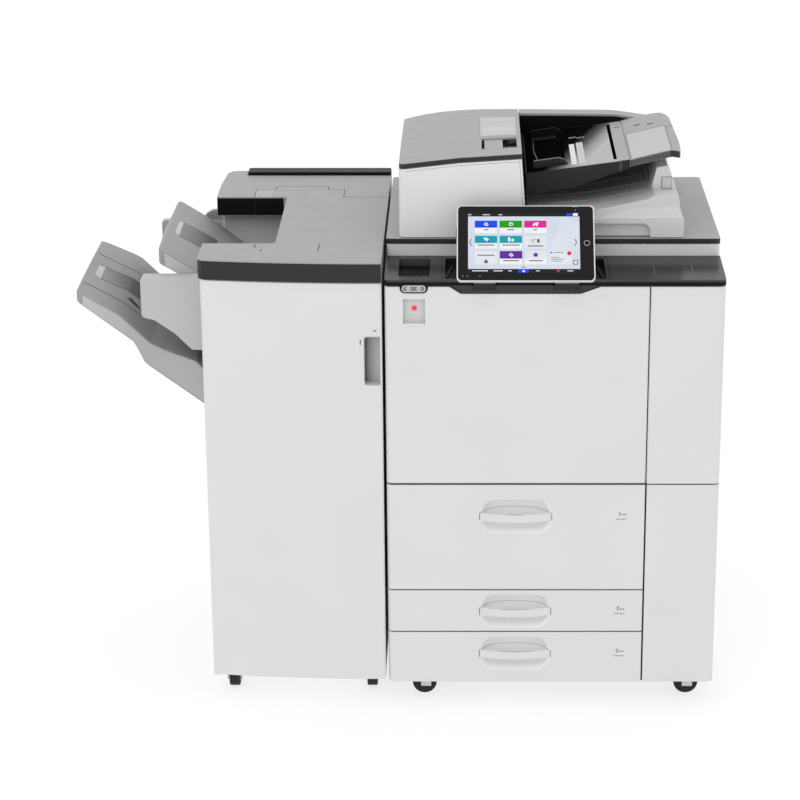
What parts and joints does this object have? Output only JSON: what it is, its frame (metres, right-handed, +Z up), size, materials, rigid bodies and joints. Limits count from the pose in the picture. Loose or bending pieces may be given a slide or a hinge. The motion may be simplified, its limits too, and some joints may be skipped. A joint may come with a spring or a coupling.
{
  "type": "photocopier",
  "caption": "Floor-standing photocopier with paper drawers, front door, tilting touch panel, document feeder and a side finisher with output trays.",
  "frame": {"origin": "centre of the footprint, on the floor", "axes": "+X to the user's right as they face the panel, +Y to the back, +Z up"},
  "size_m": [1.34, 0.8634, 1.1673],
  "materials": {
    "panel_white": "fine textured white plastic",
    "cover_grey": "fine textured grey plastic",
    "tray_grey": "grained mid grey plastic",
    "dark_plastic": "grained charcoal plastic",
    "display_black": "glossy touch screen cover",
    "panel_silver": "light silver frame",
    "sheet_steel": "plated sheet steel",
    "scan_glass": "clear float glass",
    "pad_white": "soft white pad",
    "wheel_rubber": "black tread",
    "drum_green": "coated drum"
  },
  "bodies": {
    "main": {"main_frame": "sheet_steel", "rear_cover": "panel_white", "left_cover": "panel_white", "right_cover": "panel_white", "pillar_upper_cover": "panel_white", "pillar_lower_cover": "panel_white", "inner_cover": "dark_plastic", "control_shelf": "dark_plastic", "scanner_housing": "panel_white", "scanner_top_frame": "cover_grey", "exposure_glass": "scan_glass", "feeder_hinge_left": "dark_plastic", "feeder_hinge_right": "dark_plastic", "finisher_cabinet": "panel_white", "finisher_top_cover": "cover_grey", "finisher_rear_bar": "dark_plastic", "exit_housing": "cover_grey", "upper_tray": "tray_grey"},
    "front_door": {"front_door": "panel_white"},
    "drum": {"photoconductor_drum": "drum_green"},
    "toner": {"toner_bottle": "dark_plastic"},
    "fuser": {"fusing_roller": "drum_green"},
    "pressure": {"pressure_roller": "wheel_rubber"},
    "carriage": {"scan_carriage": "dark_plastic"},
    "drawer_1": {"drawer_1_front": "panel_white", "drawer_1_grip": "panel_white", "drawer_1_box": "sheet_steel"},
    "drawer_2": {"drawer_2_front": "panel_white", "drawer_2_grip": "panel_white", "drawer_2_box": "sheet_steel"},
    "drawer_3": {"drawer_3_front": "panel_white", "drawer_3_grip": "panel_white", "drawer_3_box": "sheet_steel"},
    "panel": {"operation_panel": "panel_silver", "panel_display": "display_black"},
    "key": {"panel_key": "dark_plastic"},
    "feeder": {"feeder_base": "dark_plastic", "platen_pad": "pad_white", "feeder_left_cover": "panel_white", "feeder_output_tray": "panel_white", "feeder_rear_cover": "cover_grey"},
    "feeder_cover": {"feeder_top_cover": "cover_grey"},
    "latch": {"feeder_latch": "cover_grey"},
    "tray": {"original_tray": "dark_plastic", "tray_wing": "cover_grey"},
    "extension": {"tray_extension": "cover_grey"},
    "front_guide": {"front_side_guide": "dark_plastic"},
    "rear_guide": {"rear_side_guide": "dark_plastic"},
    "pickup": {"pickup_roller": "wheel_rubber"},
    "finisher_door": {"finisher_door": "panel_white"},
    "shift_tray": {"shift_tray": "tray_grey"},
    "stapler": {"stapler_unit": "dark_plastic"},
    "yoke_left": {"front_caster_yoke_left": "sheet_steel"},
    "yoke_right": {"front_caster_yoke_right": "sheet_steel"},
    "wheel_front_left": {"front_wheel_left": "wheel_rubber"},
    "wheel_front_right": {"front_wheel_right": "wheel_rubber"},
    "wheel_rear_left": {"rear_wheel_left": "wheel_rubber"},
    "wheel_rear_right": {"rear_wheel_right": "wheel_rubber"},
    "wheel_finisher_left": {"finisher_wheel_left": "wheel_rubber"},
    "wheel_finisher_right": {"finisher_wheel_right": "wheel_rubber"}
  },
  "joints": [
    {"name": "front_door_hinge", "type": "hinge", "parent": "main", "child": "front_door", "pos_m": [0.509, -0.41031, 0.7], "axis": [0, 0, 1], "range_deg": [0, 100]},
    {"name": "drawer_1_slide", "type": "slide", "parent": "main", "child": "drawer_1", "axis": [0, -1, 0], "range_m": [0, 0.42]},
    {"name": "drawer_2_slide", "type": "slide", "parent": "main", "child": "drawer_2", "axis": [0, -1, 0], "range_m": [0, 0.42]},
    {"name": "drawer_3_slide", "type": "slide", "parent": "main", "child": "drawer_3", "axis": [0, -1, 0], "range_m": [0, 0.42]},
    {"name": "panel_tilt", "type": "hinge", "parent": "main", "child": "panel", "pos_m": [0.266, -0.42331, 0.931], "axis": [1, 0, 0], "range_deg": [-10, 30]},
    {"name": "key_press", "type": "slide", "parent": "panel", "child": "key", "axis": [0, 0.7431, -0.6691], "range_m": [0, 0.0012], "stiffness_N_per_m": 400},
    {"name": "carriage_slide", "type": "slide", "parent": "main", "child": "carriage", "axis": [1, 0, 0], "range_m": [0, 0.55]},
    {"name": "drum_spin", "type": "hinge", "parent": "main", "child": "drum", "pos_m": [0.31, -0.17831, 0.72], "axis": [0, 1, 0], "continuous": true},
    {"name": "toner_spin", "type": "hinge", "parent": "main", "child": "toner", "pos_m": [0.13, -0.17831, 0.8], "axis": [0, 1, 0], "continuous": true},
    {"name": "fusing_spin", "type": "hinge", "parent": "main", "child": "fuser", "pos_m": [0.42, -0.17831, 0.82], "axis": [0, 1, 0], "continuous": true},
    {"name": "pressure_spin", "type": "hinge", "parent": "main", "child": "pressure", "pos_m": [0.4706, -0.17831, 0.82], "axis": [0, 1, 0], "continuous": true},
    {"name": "feeder_lift", "type": "hinge", "parent": "main", "child": "feeder", "pos_m": [0.3, 0.20369, 1.004], "axis": [-1, 0, 0], "range_deg": [0, 65]},
    {"name": "feeder_cover_open", "type": "hinge", "parent": "feeder", "child": "feeder_cover", "pos_m": [0.0085, -0.04431, 1.1355], "axis": [0, -1, 0], "range_deg": [0, 60]},
    {"name": "latch_slide", "type": "slide", "parent": "feeder_cover", "child": "latch", "axis": [1, 0, 0], "range_m": [0, 0.015], "stiffness_N_per_m": 150},
    {"name": "tray_lift", "type": "hinge", "parent": "feeder", "child": "tray", "pos_m": [0.275, -0.04231, 1.103], "axis": [0, -1, 0], "range_deg": [0, 15]},
    {"name": "extension_flip", "type": "hinge", "parent": "tray", "child": "extension", "pos_m": [0.5692, -0.10531, 1.16348], "axis": [0, 1, 0], "range_deg": [0, 160]},
    {"name": "front_guide_slide", "type": "slide", "parent": "tray", "child": "front_guide", "axis": [0, 1, 0], "range_m": [0, 0.085]},
    {"name": "rear_guide_slide", "type": "slide", "parent": "tray", "child": "rear_guide", "axis": [0, -1, 0], "range_m": [0, 0.085]},
    {"name": "pickup_spin", "type": "hinge", "parent": "feeder", "child": "pickup", "pos_m": [0.226, -0.04331, 1.128], "axis": [0, 1, 0], "continuous": true},
    {"name": "finisher_door_hinge", "type": "hinge", "parent": "main", "child": "finisher_door", "pos_m": [-0.39, -0.37831, 0.5], "axis": [0, 0, -1], "range_deg": [0, 100]},
    {"name": "shift_tray_travel", "type": "slide", "parent": "main", "child": "shift_tray", "axis": [0, 0, -1], "range_m": [0, 0.45]},
    {"name": "stapler_slide", "type": "slide", "parent": "main", "child": "stapler", "axis": [0, 1, 0], "range_m": [0, 0.42]},
    {"name": "yoke_left_swivel", "type": "hinge", "parent": "main", "child": "yoke_left", "pos_m": [0.0697, -0.35731, 0.055], "axis": [0, 0, 1], "continuous": true},
    {"name": "yoke_right_swivel", "type": "hinge", "parent": "main", "child": "yoke_right", "pos_m": [0.631, -0.35731, 0.055], "axis": [0, 0, 1], "continuous": true},
    {"name": "wheel_front_left_roll", "type": "hinge", "parent": "yoke_left", "child": "wheel_front_left", "pos_m": [0.0557, -0.35731, 0.026], "axis": [0, 1, 0], "continuous": true},
    {"name": "wheel_front_right_roll", "type": "hinge", "parent": "yoke_right", "child": "wheel_front_right", "pos_m": [0.617, -0.35731, 0.026], "axis": [0, 1, 0], "continuous": true},
    {"name": "wheel_rear_left_roll", "type": "hinge", "parent": "main", "child": "wheel_rear_left", "pos_m": [0.0557, 0.36169, 0.026], "axis": [1, 0, 0], "continuous": true},
    {"name": "wheel_rear_right_roll", "type": "hinge", "parent": "main", "child": "wheel_rear_right", "pos_m": [0.617, 0.36169, 0.026], "axis": [1, 0, 0], "continuous": true},
    {"name": "wheel_finisher_left_roll", "type": "hinge", "parent": "main", "child": "wheel_finisher_left", "pos_m": [-0.356, -0.32431, 0.026], "axis": [1, 0, 0], "continuous": true},
    {"name": "wheel_finisher_right_roll", "type": "hinge", "parent": "main", "child": "wheel_finisher_right", "pos_m": [-0.058, -0.32431, 0.026], "axis": [1, 0, 0], "continuous": true}
  ],
  "couplings": [
    {"joint": "pressure_spin", "follows": "fusing_spin", "ratio": -1},
    {"joint": "rear_guide_slide", "follows": "front_guide_slide", "ratio": 1}
  ]
}
